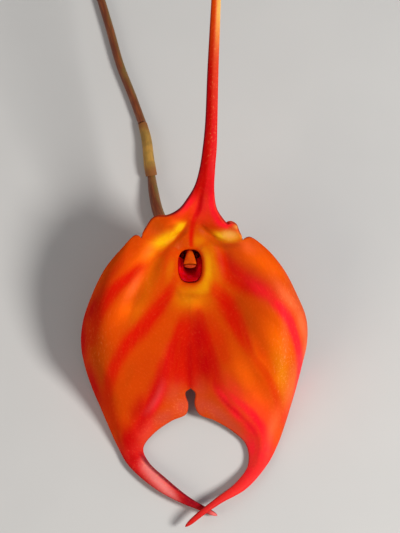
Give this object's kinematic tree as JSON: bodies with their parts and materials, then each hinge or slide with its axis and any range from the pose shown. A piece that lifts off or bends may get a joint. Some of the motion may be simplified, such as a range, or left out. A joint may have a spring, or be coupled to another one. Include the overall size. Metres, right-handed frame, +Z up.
{
  "type": "masdevallia orchid flower, picked",
  "caption": "Picked orchid flower lying face up on its cut stalk: flame-red fused sepals with long tails round a small golden throat that holds lip, petals and column.",
  "frame": {"origin": "on the surface the flower lies on, under the middle of its box", "axes": "+Z up from the surface; +Y from the flower's lower tails towards its dorsal tail and the stalk's cut end; +X to the right when looking into the flower. The face leans 20 degrees towards -Y"},
  "size_m": [0.0442, 0.1206, 0.0329],
  "materials": {
    "dorsal_sepal": "waxy fleshy sepal, golden wings, red midrib and tail, satin gloss",
    "lateral_sepals": "waxy fleshy sepal, orange with crimson nerves and dark margins, fine cell sparkle",
    "petals": "thin fleshy strap, satin",
    "lip": "dark red fleshy tongue, satin gloss",
    "column": "pale orange fleshy column, satin",
    "anther_cap": "pale salmon cap, satin",
    "pollinia": "waxy yellow grains",
    "ovary": "ribbed green-brown, matt",
    "stalk": "red-brown to olive stem, satin",
    "bract": "dry papery sheath, yellow-olive, matt"
  },
  "bodies": {
    "root": {"dorsal_sepal": "dorsal_sepal", "lateral_sepal_left": "lateral_sepals", "lateral_sepal_right": "lateral_sepals", "petal_left": "petals", "petal_right": "petals", "lip": "lip", "column": "column", "anther_cap": "anther_cap", "pollinium_left": "pollinia", "pollinium_right": "pollinia", "ovary": "ovary", "pedicel": "stalk", "floral_bract": "bract", "peduncle": "stalk"}
  },
  "joints": []
}
